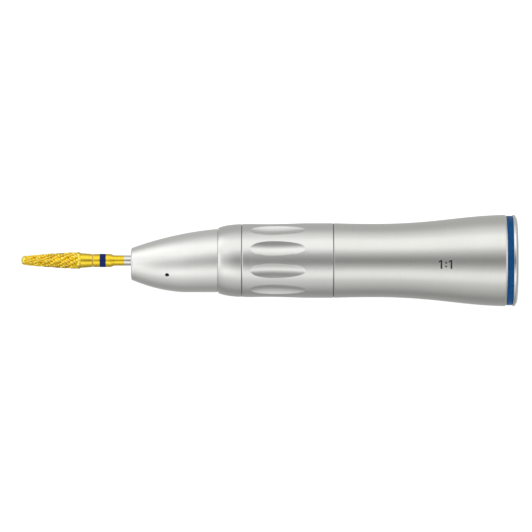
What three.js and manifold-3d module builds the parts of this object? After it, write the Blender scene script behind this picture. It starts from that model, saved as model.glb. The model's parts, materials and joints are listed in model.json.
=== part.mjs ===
// Straight 1:1 dental handpiece with a twist-lock chuck, holding a 2.35 mm handpiece bur.
// Millimetres, +Z up. The axis is X: the origin is the centre of the rear face, where the motor's spigot
// enters, and the bur points to -X. Every place along the axis is a station, measured from that rear face.
import * as THREE from "three";
import { mergeVertices } from "three/addons/utils/BufferGeometryUtils.js";
import Module from "manifold-3d";

const wasm = await Module();
wasm.setup();

// ---------------------------------------------------------------- driving dimensions

const SHANK_R = 1.175; // 2.35 mm handpiece shank
const BUR_LENGTH = 44.5;
const BUR_TIP = -112.6;
const NOSE_FACE = -87.7;
const NOSE_SEAM = -67.9;
const COLLAR_SEAM = -62.5;
const SHEATH_SEAM = -41.7;
const REAR_FACE = 0;

const SEAM_GAP = 0.1; // between two outer casings
const FIT = 0.05; // radial gap of a fixed fit on a small radius
const WIDE_FIT = 0.07; // the same on a radius over 6 mm

const TWIST_ANGLE = Math.PI / 3; // from locked to released
const PUSHER_TRAVEL = 1.5;
const COLLET_TRAVEL = 1.2;

const ROUND = 16; // facets round a piece inside the rotor
const WIDE_ROUND = 28; // facets round a casing
const MID_ROUND = 24; // facets round a part that a casing covers

const DOWN = -Math.PI / 2; // angles about X run from +Y towards +Z
const UP = Math.PI / 2;

// ---------------------------------------------------------------- materials

function metal(color, roughness) {
  return new THREE.MeshStandardMaterial({ color, roughness, metalness: 1 });
}

function plain(color, roughness) {
  return new THREE.MeshStandardMaterial({ color, roughness, metalness: 0 });
}

const satinSteel = metal(0xc9c9c6, 0.42);
const turnedSteel = metal(0xb9bbbd, 0.25);
const hardSteel = metal(0x9fa3a8, 0.2);
const springSteel = metal(0x8d9094, 0.3);
const ballSteel = metal(0xdfe1e4, 0.08);
const gold = metal(0xe2b32c, 0.3);
const brightSteel = metal(0xd8dadd, 0.12);
const blackRubber = plain(0x1c1c1e, 0.75);
const blueRing = plain(0x0f4f92, 0.3);
const blueBand = plain(0x14307a, 0.35);

// ---------------------------------------------------------------- shape tools

/** A closed geometry as a manifold-3d solid. */
function solid(geometry) {
  const bare = geometry.clone();
  bare.deleteAttribute("normal");
  bare.deleteAttribute("uv");
  const merged = mergeVertices(bare, 1e-4);
  return new wasm.Manifold(
    new wasm.Mesh({
      numProp: 3,
      vertProperties: merged.attributes.position.array,
      triVerts: new Uint32Array(merged.index.array),
    }),
  );
}

/** A manifold-3d solid as a geometry. */
function geometryOf(made) {
  const mesh = made.getMesh();
  const geometry = new THREE.BufferGeometry();
  geometry.setAttribute("position", new THREE.BufferAttribute(mesh.vertProperties, 3));
  geometry.setIndex(new THREE.BufferAttribute(mesh.triVerts, 1));
  geometry.computeVertexNormals();
  return geometry;
}

/** A geometry with other geometries taken out of it. */
function cut(geometry, ...cutters) {
  return geometryOf(cutters.reduce((rest, cutter) => rest.subtract(solid(cutter)), solid(geometry)));
}

/** Several overlapping geometries as one. */
function joined(first, ...others) {
  return geometryOf(others.reduce((all, other) => all.add(solid(other)), solid(first)));
}

/**
 * A body of revolution about X. The profile is a list of [station, radius]. One that doesn't start on the
 * axis is a closed loop. Either way round is allowed.
 */
function turned(profile, facets = ROUND) {
  const loop = profile[0][1] > 0 ? [...profile, profile[0]] : profile;
  const area = loop.slice(1).reduce((sum, [x, r], i) => sum + loop[i][0] * r - x * loop[i][1], 0);
  const points = loop.map(([x, r]) => new THREE.Vector2(r, x));
  if (area > 0) points.reverse();
  return new THREE.LatheGeometry(points, facets).rotateZ(-Math.PI / 2);
}

/** A plain ring between two stations. */
function ring(front, rear, inner, outer, facets = ROUND) {
  return turned([[front, inner], [rear, inner], [rear, outer], [front, outer]], facets);
}

/** A round ring of a small round section, such as an O-ring. */
function roundRing(station, radius, section, facets = MID_ROUND, sides = 5) {
  const circle = new THREE.EllipseCurve(station, radius, section, section);
  return turned(circle.getPoints(sides).slice(0, sides).map((p) => [p.x, p.y]), facets);
}

/** A round rod that points out from the axis at an angle, between two radii. */
function radialRod(station, angle, radius, from, to, sides = 12) {
  return new THREE.CylinderGeometry(radius, radius, to - from, sides)
    .translate(0, (from + to) / 2, 0)
    .rotateX(angle)
    .translate(station, 0, 0);
}

/** A box with its sides along the axes, between two corners. */
function block(low, high) {
  const size = high.map((value, i) => value - low[i]);
  const middle = high.map((value, i) => (value + low[i]) / 2);
  return new THREE.BoxGeometry(...size).translate(...middle);
}

/** Points along a curve of stations and radii, as a turned profile. */
function along(curve, steps) {
  return curve.getPoints(steps).map((p) => [p.x, p.y]);
}

function bend(...points) {
  const vectors = points.map(([x, y]) => new THREE.Vector2(x, y));
  return vectors.length === 3
    ? new THREE.QuadraticBezierCurve(...vectors)
    : new THREE.CubicBezierCurve(...vectors);
}

/** A round bar, or a tube where bore is over 0, along a curve. */
function drawn(curve, radius, bore, steps, sides) {
  const section = new THREE.Shape(
    new THREE.EllipseCurve(0, 0, radius, radius).getPoints(sides).slice(0, sides),
  );
  if (bore > 0) {
    const inside = new THREE.EllipseCurve(0, 0, bore, bore).getPoints(sides).slice(0, sides);
    section.holes.push(new THREE.Path(inside));
  }
  return new THREE.ExtrudeGeometry(section, { steps, extrudePath: curve, curveSegments: 1 });
}

/** The centre line of a coil spring about an axis through the origin along X. */
class Coil extends THREE.Curve {
  constructor(front, rear, radius, turns) {
    super();
    Object.assign(this, { front, rear, radius, turns });
  }

  getPoint(t, target = new THREE.Vector3()) {
    const angle = 2 * Math.PI * this.turns * t;
    const x = this.front + (this.rear - this.front) * t;
    return target.set(x, this.radius * Math.cos(angle), this.radius * Math.sin(angle));
  }
}

// ---------------------------------------------------------------- the model and its bodies

const handpiece = new THREE.Group();

function newBody() {
  const body = new THREE.Group();
  handpiece.add(body);
  return body;
}

const housing = newBody();
const twister = newBody();
const pusher = newBody();
const rotor = newBody();
const cages = newBody();
const chuck = newBody();
const bur = newBody();

/** Puts a piece on a body. A station moves a piece that is drawn round its own centre. */
function put(body, name, geometry, material, station = 0) {
  const mesh = new THREE.Mesh(geometry, material);
  mesh.name = name;
  mesh.position.x = station;
  body.add(mesh);
}

// ---------------------------------------------------------------- inner body and its stations

const BODY_R = 6.2;
const BODY_REAR = -33.6; // the flat face that stops the motor's spigot
const BODY_FRONT = -80.2;
const FLANGE_R = 7.15; // carries the rear seal of the twist ring
const FLANGE_FRONT = -43.8;
const FLANGE_REAR = SHEATH_SEAM - 0.05;
const SEAL_GROOVE_R = 6.55;
const SEAL_GROOVE_WIDTH = 0.9;
const REAR_SEAL = (FLANGE_FRONT + FLANGE_REAR) / 2;
const BODY_STEP = -69.2; // where the body narrows to go into the nose
const NECK_R = 4.55;

const PUSHER_BORE_R = 4.9;
const ROTOR_BORE_R = 3.6;
const PUSHER_BORE_FRONT = -55.5;

const REAR_BEARING = { centre: -42.35, width: 3, bore: 3.05, rim: 4.97, ball: 0.58, balls: 8 };
const FRONT_BEARING = { centre: -78.4, width: 3, bore: 2.54, rim: 3.96, ball: 0.45, balls: 8 };
const FRONT_SEAT_REAR = FRONT_BEARING.centre + FRONT_BEARING.width / 2 + FIT;
const REAR_SEAT_FRONT = REAR_BEARING.centre - REAR_BEARING.width / 2 - FIT;
const BEARING_REAR = REAR_BEARING.centre + REAR_BEARING.width / 2;

const CAM_PIN_R = 0.6;
const CAM_PIN_STATION = -48.2;
const CAM_PIN_ANGLES = { left: Math.PI, right: 0 };
const PIN_PLAY = 0.06;

const TUBE_R = 0.35;
const TUBE_BORE = 0.2;
const TUBE_GROOVE_HALF = 0.45;
const TUBE_GROOVE_FLOOR = 5.28;
const WATER_PORT = -20.3;

const DETENT_STATION = -58.2;
const DETENT_ANGLE = Math.PI / 4;
const DETENT_HOLE_R = 0.65;
const DETENT_HOLE_FLOOR = 4.3;

/** Walls along the body's whole length: outside from rear to front, then inside back again. */
function innerBodyProfile() {
  const groove = SEAL_GROOVE_WIDTH / 2;
  return [
    [BODY_REAR, BODY_R],
    [FLANGE_REAR, BODY_R],
    [FLANGE_REAR, FLANGE_R],
    [REAR_SEAL + groove, FLANGE_R],
    [REAR_SEAL + groove, SEAL_GROOVE_R],
    [REAR_SEAL - groove, SEAL_GROOVE_R],
    [REAR_SEAL - groove, FLANGE_R],
    [FLANGE_FRONT, FLANGE_R],
    [FLANGE_FRONT, BODY_R],
    [BODY_STEP, BODY_R],
    [BODY_STEP - 0.8, NECK_R],
    [BODY_FRONT, NECK_R],
    [BODY_FRONT, FRONT_BEARING.rim + FIT],
    [FRONT_SEAT_REAR, FRONT_BEARING.rim + FIT],
    [FRONT_SEAT_REAR, ROTOR_BORE_R],
    [PUSHER_BORE_FRONT, ROTOR_BORE_R],
    [PUSHER_BORE_FRONT, PUSHER_BORE_R],
    [REAR_SEAT_FRONT, PUSHER_BORE_R],
    [REAR_SEAT_FRONT, REAR_BEARING.rim + FIT],
    [BODY_REAR, REAR_BEARING.rim + FIT],
  ];
}

/** A straight slot that lets one cam pin slide along the axis but not turn. */
function axialPinSlot(angle) {
  const half = CAM_PIN_R + PIN_PLAY;
  return block(
    [CAM_PIN_STATION - PUSHER_TRAVEL - half, PUSHER_BORE_R - 0.6, -half],
    [CAM_PIN_STATION + half, BODY_R + 0.3, half],
  ).rotateX(angle);
}

const tubeGroove = block(
  [BODY_STEP - 1, -TUBE_GROOVE_HALF, -BODY_R - 0.3],
  [BODY_REAR + 0.1, TUBE_GROOVE_HALF, -TUBE_GROOVE_FLOOR],
);

put(
  housing,
  "inner_body",
  cut(
    turned(innerBodyProfile(), MID_ROUND),
    axialPinSlot(CAM_PIN_ANGLES.left),
    axialPinSlot(CAM_PIN_ANGLES.right),
    tubeGroove,
    radialRod(DETENT_STATION, DETENT_ANGLE, DETENT_HOLE_R, DETENT_HOLE_FLOOR, BODY_R + 1),
  ),
  turnedSteel,
);

// ---------------------------------------------------------------- nose cone

const NOSE_RIM = NOSE_FACE + 0.4; // where the rounded rim meets the side
const NOSE_REAR_R = 7.2;
const NOSE_BULGE_REAR = -75.5; // from here back the underside runs parallel to the axis
const NOSE_GUIDE_R = 1.6;
const POCKET_R = 2.8; // clears the chuck's mouth
const POCKET_FRONT = -85.6;
const SEAL_SEAT_R = 3.6;
const SEAL_SEAT_FRONT = -82.1;
const NOZZLE = { z: -3.1, radius: 0.5, front: NOSE_FACE - 0.05, rear: -86.6 };
const LOCK_SCREW = { station: -79.4, angle: Math.PI + 0.538, radius: 0.42, foot: 4.62, head: 5.85 };

const noseTop = bend([NOSE_RIM, 2.93], [(NOSE_RIM + NOSE_SEAM) / 2, 6.36], [NOSE_SEAM, NOSE_REAR_R]);
const noseUnderside = bend(
  [NOSE_RIM, 4.48],
  [(NOSE_RIM + NOSE_BULGE_REAR) / 2, 6.97],
  [NOSE_BULGE_REAR, NOSE_REAR_R],
);

/** The height of a parabola-shaped outline at a station. Its stations run evenly with the parameter. */
function outlineAt(curve, x) {
  const start = curve.v0.x;
  const t = Math.min(1, Math.max(0, (x - start) / (curve.v2.x - start)));
  return curve.getPoint(t).y;
}

/** How far a nose section's centre lies from the axis, in Z: the nose bulges below, round the water tube. */
function noseCentre(x) {
  return (outlineAt(noseTop, x) - outlineAt(noseUnderside, x)) / 2;
}

function noseRadius(x) {
  return (outlineAt(noseTop, x) + outlineAt(noseUnderside, x)) / 2;
}

/** The nose's solid outside: round sections whose centres leave the axis towards the front. */
function noseOutside() {
  const rear = NOSE_SEAM - SEAM_GAP / 2;
  const steps = 7;
  const side = Array.from({ length: steps + 1 }, (_, i) => NOSE_RIM + ((rear - NOSE_RIM) * i) / steps);
  const rimRadius = noseRadius(NOSE_RIM);
  const profile = [
    [NOSE_FACE, 0],
    [NOSE_FACE, rimRadius - 0.45],
    [NOSE_FACE + 0.12, rimRadius - 0.18],
    ...side.map((x) => [x, noseRadius(x)]),
    [rear, 0],
  ];
  const geometry = turned(profile, WIDE_ROUND);
  const position = geometry.attributes.position;
  for (let i = 0; i < position.count; i += 1) {
    position.setZ(i, position.getZ(i) + noseCentre(position.getX(i)));
  }
  return geometry;
}

const noseBore = turned(
  [
    [NOSE_FACE - 1, 0],
    [NOSE_FACE - 1, NOSE_GUIDE_R],
    [POCKET_FRONT, NOSE_GUIDE_R],
    [POCKET_FRONT, POCKET_R],
    [SEAL_SEAT_FRONT, POCKET_R],
    [SEAL_SEAT_FRONT, SEAL_SEAT_R],
    [BODY_FRONT - 0.1, SEAL_SEAT_R],
    [BODY_FRONT - 0.1, NECK_R + FIT],
    [-71.2, NECK_R + FIT],
    [-70.2, BODY_R + WIDE_FIT],
    [NOSE_SEAM + 1, BODY_R + WIDE_FIT],
    [NOSE_SEAM + 1, 0],
  ],
  WIDE_ROUND,
);

// The tube's route, as [station, depth under the axis]: along the connector sleeve, down into the groove
// of the inner body, under the cam sleeve, and up through the nose's bulge to the nozzle.
const TUBE_ROUTE = [
  [-20.0, 7.12],
  [-26.0, 7.12],
  [-33.2, 7.12],
  [-35.7, 6.45],
  [-38.2, 5.78],
  [-41.0, 5.72],
  [-55.0, 5.72],
  [-68.0, 5.72],
  [-76.0, 5.72],
  [-80.0, 5.4],
  [-83.5, 4.4],
  [-86.3, 3.3],
];

function tubeCurve(route) {
  return new THREE.CatmullRomCurve3(route.map(([x, depth]) => new THREE.Vector3(x, 0, -depth)));
}

const tubePassage = drawn(tubeCurve([[-66, 5.72], ...TUBE_ROUTE.slice(7), [-87.2, 2.95]]), 0.47, 0, 10, 6);

const nozzleHole = new THREE.CylinderGeometry(NOZZLE.radius + 0.05, NOZZLE.radius + 0.05, 3, 12)
  .rotateZ(Math.PI / 2)
  .translate(NOZZLE.rear - 1.45, 0, NOZZLE.z);

put(
  housing,
  "nose_cone",
  cut(
    noseOutside(),
    noseBore,
    tubePassage,
    nozzleHole,
    radialRod(LOCK_SCREW.station, LOCK_SCREW.angle, LOCK_SCREW.radius + 0.04, 3.5, 8, 12),
  ),
  satinSteel,
);

const screwSlot = block(
  [LOCK_SCREW.station - 1, LOCK_SCREW.head - 0.25, -0.08],
  [LOCK_SCREW.station + 1, 7, 0.08],
).rotateX(LOCK_SCREW.angle);

put(
  housing,
  "nose_lock_screw",
  cut(
    radialRod(LOCK_SCREW.station, LOCK_SCREW.angle, LOCK_SCREW.radius, LOCK_SCREW.foot, LOCK_SCREW.head, 12),
    screwSlot,
  ),
  hardSteel,
);

put(
  housing,
  "spray_nozzle",
  ring(NOZZLE.front, NOZZLE.rear, 0.2, NOZZLE.radius, 12).translate(0, 0, NOZZLE.z),
  brightSteel,
);

put(housing, "water_tube", drawn(tubeCurve(TUBE_ROUTE), TUBE_R, TUBE_BORE, 20, 5), brightSteel);

put(
  housing,
  "front_dust_seal",
  turned([
    [-82.0, 2.8],
    [-81.65, 2.56],
    [-81.1, 2.8],
    [-81.1, SEAL_SEAT_R - 0.06],
    [-82.0, SEAL_SEAT_R - 0.06],
  ]),
  blackRubber,
);

// ---------------------------------------------------------------- front collar

const COLLAR_FRONT_R = 7.4;
const COLLAR_REAR_R = 8.28;
const COLLAR_SPIGOT_REAR = -60.2;
const FRONT_SEAL = -61.35;

const collarOutline = bend(
  [NOSE_SEAM + SEAM_GAP / 2, COLLAR_FRONT_R],
  [-66.2, 8.15],
  [COLLAR_SEAM - SEAM_GAP / 2, COLLAR_REAR_R],
);

put(
  housing,
  "front_collar",
  turned(
    [
      ...along(collarOutline, 4),
      [COLLAR_SEAM - SEAM_GAP / 2, FLANGE_R],
      [FRONT_SEAL - SEAL_GROOVE_WIDTH / 2, FLANGE_R],
      [FRONT_SEAL - SEAL_GROOVE_WIDTH / 2, SEAL_GROOVE_R],
      [FRONT_SEAL + SEAL_GROOVE_WIDTH / 2, SEAL_GROOVE_R],
      [FRONT_SEAL + SEAL_GROOVE_WIDTH / 2, FLANGE_R],
      [COLLAR_SPIGOT_REAR, FLANGE_R],
      [COLLAR_SPIGOT_REAR, BODY_R + WIDE_FIT],
      [NOSE_SEAM + SEAM_GAP / 2, BODY_R + WIDE_FIT],
    ],
    WIDE_ROUND,
  ),
  satinSteel,
);

const SEAL_SECTION = 0.31;
const SEAL_RADIUS = 6.9;
put(housing, "front_o_ring", roundRing(FRONT_SEAL, SEAL_RADIUS, SEAL_SECTION), blackRubber);
put(housing, "rear_o_ring", roundRing(REAR_SEAL, SEAL_RADIUS, SEAL_SECTION), blackRubber);

// ---------------------------------------------------------------- twist ring, with ten finger scallops

const RING_BORE_R = 7.3;
const RING_FRONT = COLLAR_SEAM + SEAM_GAP / 2;
const RING_REAR = SHEATH_SEAM - SEAM_GAP / 2;
const SCALLOP = { count: 10, front: -60.5, middle: -55.6, rear: -48.1, depth: 0.62, halfWidth: 1.74 };
const SCALLOP_PITCH = (2 * Math.PI) / SCALLOP.count;
const SCALLOP_START = UP - Math.PI / 120; // the first scallop's middle, 1.5 degrees round from the upper key
const KEY = { front: -52.5, rear: -46.5, half: 0.6, foot: 6.75, head: 7.65 };

const ringOutline = bend([RING_FRONT, 8.28], [-52, 8.5], [RING_REAR, 8.48]);

/** Points along one scallop's length, from -1 at its front end over 0 at its middle to 1 at its rear end. */
const scallopSteps = [-90, -60, -30, 0, 30, 60, 90].map((degrees) => Math.sin((degrees * Math.PI) / 180));

function scallopStation(step) {
  return SCALLOP.middle + step * (step < 0 ? SCALLOP.middle - SCALLOP.front : SCALLOP.rear - SCALLOP.middle);
}

/** The twist ring's solid of revolution with its outside pressed in at each scallop. */
function scallopedRing() {
  const stations = scallopSteps.map(scallopStation);
  const outside = stations.map((x) => [x, outlineAt(ringOutline, x)]);
  const geometry = turned(
    [
      [RING_FRONT, RING_BORE_R],
      [RING_FRONT, 8.2],
      ...outside,
      [RING_REAR - 0.12, 8.48],
      [RING_REAR, 8.36],
      [RING_REAR, RING_BORE_R],
    ],
    5 * SCALLOP.count,
  ).rotateX(SCALLOP_START - UP + SCALLOP_PITCH / 2);
  const position = geometry.attributes.position;
  for (let i = 0; i < position.count; i += 1) {
    const [x, y, z] = [position.getX(i), position.getY(i), position.getZ(i)];
    const place = stations.findIndex((station) => Math.abs(station - x) < 0.01);
    if (place < 0) continue;
    const angle = Math.atan2(z, y);
    const middle = SCALLOP_START + SCALLOP_PITCH * Math.round((angle - SCALLOP_START) / SCALLOP_PITCH);
    const aside = Math.abs(angle - middle);
    if (aside > 0.4 * SCALLOP_PITCH) continue; // between two scallops
    const onFloor = aside < 0.2 * SCALLOP_PITCH;
    const share = 1 - scallopSteps[place] ** 2; // of the full depth
    const radius = outlineAt(ringOutline, x) - (onFloor ? SCALLOP.depth * share : 0);
    const halfWidth = SCALLOP.halfWidth * Math.max(0.25, Math.sqrt(share)) * (onFloor ? 0.42 : 1);
    const offset = (Math.sign(angle - middle) * halfWidth) / radius;
    position.setXYZ(i, x, radius * Math.cos(middle + offset), radius * Math.sin(middle + offset));
  }
  return geometry;
}

/** A key's seat, the same in the ring and in the cam sleeve. */
function keySeat(angle, play) {
  return block(
    [KEY.front - play, KEY.foot - play, -KEY.half - play],
    [KEY.rear + play, KEY.head + play, KEY.half + play],
  ).rotateX(angle);
}

put(twister, "twist_ring", cut(scallopedRing(), keySeat(UP, FIT), keySeat(DOWN, FIT)), satinSteel);

// ---------------------------------------------------------------- cam sleeve, keys, pusher and pins

const CAM_FRONT = -60.0;
const CAM_REAR = -44.0;
const CAM_BORE_R = BODY_R + WIDE_FIT;
const CAM_R = 7.2;
const DETENT_TRACK_R = 6.55;

/** A slot that winds round the cam sleeve, so that turning the sleeve moves a pin along the axis. */
function camSlot(angle) {
  const half = CAM_PIN_R + 0.09;
  const play = 0.105; // radians past each end of the pin's run
  const sweep = TWIST_ANGLE + 2 * play;
  const slab = new THREE.BoxGeometry(sweep, 2, 2 * half, 8, 1, 1);
  const position = slab.attributes.position;
  for (let i = 0; i < position.count; i += 1) {
    const turn = position.getX(i) + sweep / 2 - play; // 0 where the pin rests, TWIST_ANGLE when released
    const radius = position.getY(i) + (CAM_BORE_R + CAM_R) / 2;
    const x = CAM_PIN_STATION - (PUSHER_TRAVEL * turn) / TWIST_ANGLE - position.getZ(i);
    position.setXYZ(i, x, radius * Math.cos(angle - turn), radius * Math.sin(angle - turn));
  }
  // Winding the other way round turns the slab inside out, so its faces are turned back.
  const index = slab.index.array;
  for (let i = 0; i < index.length; i += 3) [index[i + 1], index[i + 2]] = [index[i + 2], index[i + 1]];
  return slab;
}

const CAM_TRACK = DETENT_HOLE_R + 0.1;

put(
  twister,
  "cam_sleeve",
  cut(
    turned(
      [
        [CAM_FRONT, CAM_BORE_R],
        [DETENT_STATION - CAM_TRACK, CAM_BORE_R],
        [DETENT_STATION - CAM_TRACK, DETENT_TRACK_R],
        [DETENT_STATION + CAM_TRACK, DETENT_TRACK_R],
        [DETENT_STATION + CAM_TRACK, CAM_BORE_R],
        [CAM_REAR, CAM_BORE_R],
        [CAM_REAR, CAM_R],
        [CAM_FRONT, CAM_R],
      ],
      MID_ROUND,
    ),
    camSlot(CAM_PIN_ANGLES.left),
    camSlot(CAM_PIN_ANGLES.right),
    keySeat(UP, FIT),
    keySeat(DOWN, FIT),
    radialRod(DETENT_STATION, DETENT_ANGLE, 0.5, DETENT_TRACK_R - 0.2, 6.8),
    radialRod(DETENT_STATION, DETENT_ANGLE - TWIST_ANGLE, 0.5, DETENT_TRACK_R - 0.2, 6.8),
  ),
  hardSteel,
);

put(twister, "ring_key_upper", keySeat(UP, 0), hardSteel);
put(twister, "ring_key_lower", keySeat(DOWN, 0), hardSteel);

const PUSHER_FRONT = -50.1;
const PUSHER_REAR = -46.0;
const PIN_FOOT = 3.9;

put(
  pusher,
  "pusher_sleeve",
  cut(
    ring(PUSHER_FRONT, PUSHER_REAR, 3.15, PUSHER_BORE_R - 0.1),
    ...Object.values(CAM_PIN_ANGLES).map((angle) =>
      radialRod(CAM_PIN_STATION, angle, CAM_PIN_R + 0.04, PIN_FOOT - 0.05, BODY_R),
    ),
  ),
  turnedSteel,
);

for (const [side, angle] of Object.entries(CAM_PIN_ANGLES)) {
  const pin = radialRod(CAM_PIN_STATION, angle, CAM_PIN_R, PIN_FOOT, CAM_R - 0.1);
  put(pusher, `cam_pin_${side}`, pin, ballSteel);
}

// ---------------------------------------------------------------- click detent of the twist ring

const DETENT_BALL_R = 0.58;
const detentCentre = DETENT_TRACK_R - 0.06 - DETENT_BALL_R;

put(
  housing,
  "detent_ball",
  new THREE.SphereGeometry(DETENT_BALL_R, 10, 8)
    .translate(0, detentCentre, 0)
    .rotateX(DETENT_ANGLE)
    .translate(DETENT_STATION, 0, 0),
  ballSteel,
);

put(
  housing,
  "detent_spring",
  drawn(new Coil(DETENT_HOLE_FLOOR + 0.15, detentCentre - DETENT_BALL_R + 0.02, 0.38, 3), 0.09, 0, 18, 4)
    .rotateZ(Math.PI / 2)
    .rotateX(DETENT_ANGLE)
    .translate(DETENT_STATION, 0, 0),
  springSteel,
);

// ---------------------------------------------------------------- ball bearings

/** The two rings and the caged balls of one bearing, drawn round its own centre. */
function bearingPieces({ width, bore, rim, ball, balls }) {
  const half = width / 2;
  const pitch = (bore + rim) / 2;
  const land = ball * 0.6; // from the pitch circle to the edge of a ring's track
  const floor = ball + 0.1; // from the pitch circle to the track's floor
  const tracked = (edge, side) =>
    turned([
      [-half, edge],
      [half, edge],
      [half, pitch + side * land],
      [ball * 0.7, pitch + side * floor],
      [-ball * 0.7, pitch + side * floor],
      [-half, pitch + side * land],
    ]);
  const inner = tracked(bore, -1);
  const outer = tracked(rim, 1);
  const round = Array.from({ length: balls }, (_, i) =>
    new THREE.SphereGeometry(ball, 5, 4).translate(0, pitch, 0).rotateX((i * 2 * Math.PI) / balls),
  );
  const band = ball * 0.4;
  return { inner, outer, caged: joined(ring(-band, band, pitch - band, pitch + band), ...round) };
}

for (const [end, bearing] of Object.entries({ front: FRONT_BEARING, rear: REAR_BEARING })) {
  const pieces = bearingPieces(bearing);
  put(housing, `${end}_bearing_outer_ring`, pieces.outer, ballSteel, bearing.centre);
  put(rotor, `${end}_bearing_inner_ring`, pieces.inner, ballSteel, bearing.centre);
  put(cages, `${end}_bearing_balls`, pieces.caged, ballSteel, bearing.centre);
}

const NUT_FRONT = -40.35;
const NUT_REAR = -37.6;
const NUT_HOLE_R = 3.3;

/** A thin washer with three waves, which pushes the rear bearing forward. */
function waveWasher() {
  const geometry = ring(-0.06, 0.06, 4.15, 4.9);
  const position = geometry.attributes.position;
  for (let i = 0; i < position.count; i += 1) {
    const angle = Math.atan2(position.getZ(i), position.getY(i));
    position.setX(i, position.getX(i) + 0.1 * Math.sin(3 * angle));
  }
  return geometry;
}

put(housing, "preload_washer", waveWasher(), springSteel, (BEARING_REAR + NUT_FRONT) / 2);

const spannerSlot = block([NUT_REAR - 0.8, -6, -0.5], [NUT_REAR + 1, 6, 0.5]);
put(
  housing,
  "rear_bearing_nut",
  cut(ring(NUT_FRONT, NUT_REAR, NUT_HOLE_R, REAR_BEARING.rim), spannerSlot),
  turnedSteel,
);

// ---------------------------------------------------------------- spindle

const SPINDLE_FRONT = -84.2;
const SPINDLE_REAR = -36.5;
const SPINDLE_R = 2.98;
const FRONT_SEAT_R = 2.48;
const SHOULDER_R = 3.3;
const CONE = { mouth: 2.15, throat: 1.86, rear: -81.5 };
const SPRING_STOP = { front: -66.2, rear: -64.8, hole: 1.1 };
const SPRING_BORE_R = 1.95;
const RELEASE_PIN = { station: -52.0, radius: 0.45 };
const RELEASE_SLOT_HALF = RELEASE_PIN.radius + 0.05;
const DOG_PIN_STATION = -39.0;

const spindleShoulder = FRONT_SEAT_REAR - FIT + 0.02;

const releaseSlot = block(
  [RELEASE_PIN.station - COLLET_TRAVEL - RELEASE_SLOT_HALF, -4, -RELEASE_SLOT_HALF],
  [RELEASE_PIN.station + RELEASE_SLOT_HALF, 4, RELEASE_SLOT_HALF],
);

/** A round hole right across the rotor, for a cross pin. */
function crossHole(station, radius) {
  return radialRod(station, 0, radius, -5, 5);
}

put(
  rotor,
  "spindle",
  cut(
    turned([
      [SPINDLE_FRONT, CONE.mouth],
      [SPINDLE_FRONT, FRONT_SEAT_R - 0.1],
      [SPINDLE_FRONT + 0.2, FRONT_SEAT_R],
      [spindleShoulder, FRONT_SEAT_R],
      [spindleShoulder, SHOULDER_R],
      [spindleShoulder + 0.8, SHOULDER_R],
      [spindleShoulder + 0.8, SPINDLE_R],
      [SPINDLE_REAR, SPINDLE_R],
      [SPINDLE_REAR, SPRING_BORE_R],
      [SPRING_STOP.rear, SPRING_BORE_R],
      [SPRING_STOP.rear, SPRING_STOP.hole],
      [SPRING_STOP.front, SPRING_STOP.hole],
      [SPRING_STOP.front, CONE.throat],
      [CONE.rear, CONE.throat],
    ]),
    releaseSlot,
    crossHole(DOG_PIN_STATION, 0.44),
  ),
  hardSteel,
);

put(rotor, "spindle_nut", ring(-80.95, -79.97, FRONT_SEAT_R + FIT, 3.3), turnedSteel);

// ---------------------------------------------------------------- drive dog

const DOG = { plug: 1.88, plugFront: -47.0, flange: 2.7, flangeRear: -35.6, shaft: 2.1, tip: -27.0 };
const DOG_SLOT_FLOOR = -31.2;
const DOG_SLOT_HALF = 0.75;

put(
  rotor,
  "drive_dog",
  cut(
    turned([
      [DOG.plugFront, 0],
      [DOG.plugFront, DOG.plug],
      [SPINDLE_REAR + 0.05, DOG.plug],
      [SPINDLE_REAR + 0.05, DOG.flange],
      [DOG.flangeRear, DOG.flange],
      [DOG.flangeRear, DOG.shaft],
      [DOG.tip - 0.35, DOG.shaft],
      [DOG.tip, DOG.shaft - 0.35],
      [DOG.tip, 0],
    ]),
    block([DOG_SLOT_FLOOR, -DOG_SLOT_HALF, -3], [DOG.tip + 1, DOG_SLOT_HALF, 3]),
    crossHole(DOG_PIN_STATION, 0.44),
  ),
  hardSteel,
);

put(rotor, "drive_dog_pin", radialRod(DOG_PIN_STATION, 0, 0.4, -2.9, 2.9), ballSteel);

// ---------------------------------------------------------------- collet, its spring and its release

const COLLET_FRONT = -84.0;
const COLLET = {
  lip: 2.1,
  body: 1.78,
  bore: 1.2,
  boreRear: -67.8,
  bodyRear: -66.8,
  tail: 1.0,
  tailRear: -50.6,
};
const JAW_SLOT_REAR = -74.5;
const JAW_SLOT_HALF = 0.15;
const JAWS = 3;
const SPRING = { front: -64.45, rear: -54.4, coil: 1.5, wire: 0.27, turns: 6 };
const SPRING_NUT = { front: -54.05, rear: -50.7, radius: 1.85 };
const RELEASE_COLLAR = { front: -53.6, rear: -50.45, radius: 4.3 };

/** The slot between two of the collet's jaws: a slab that goes from the axis outwards. */
function jawSlot(angle) {
  return block([COLLET_FRONT - 1, 0, -JAW_SLOT_HALF], [JAW_SLOT_REAR, 3, JAW_SLOT_HALF]).rotateX(angle);
}

put(
  chuck,
  "collet",
  cut(
    turned([
      [COLLET_FRONT, COLLET.bore + 0.12],
      [COLLET_FRONT, COLLET.lip],
      [CONE.rear - 0.1, COLLET.body],
      [COLLET.bodyRear, COLLET.body],
      [COLLET.bodyRear, COLLET.tail],
      [COLLET.tailRear, COLLET.tail],
      [COLLET.tailRear, 0],
      [COLLET.boreRear, 0],
      [COLLET.boreRear, COLLET.bore],
      [COLLET_FRONT + 0.15, COLLET.bore],
    ]),
    ...Array.from({ length: JAWS }, (_, i) => jawSlot((i * 2 * Math.PI) / JAWS)),
    crossHole(RELEASE_PIN.station, RELEASE_PIN.radius + 0.04),
  ),
  hardSteel,
);

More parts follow.
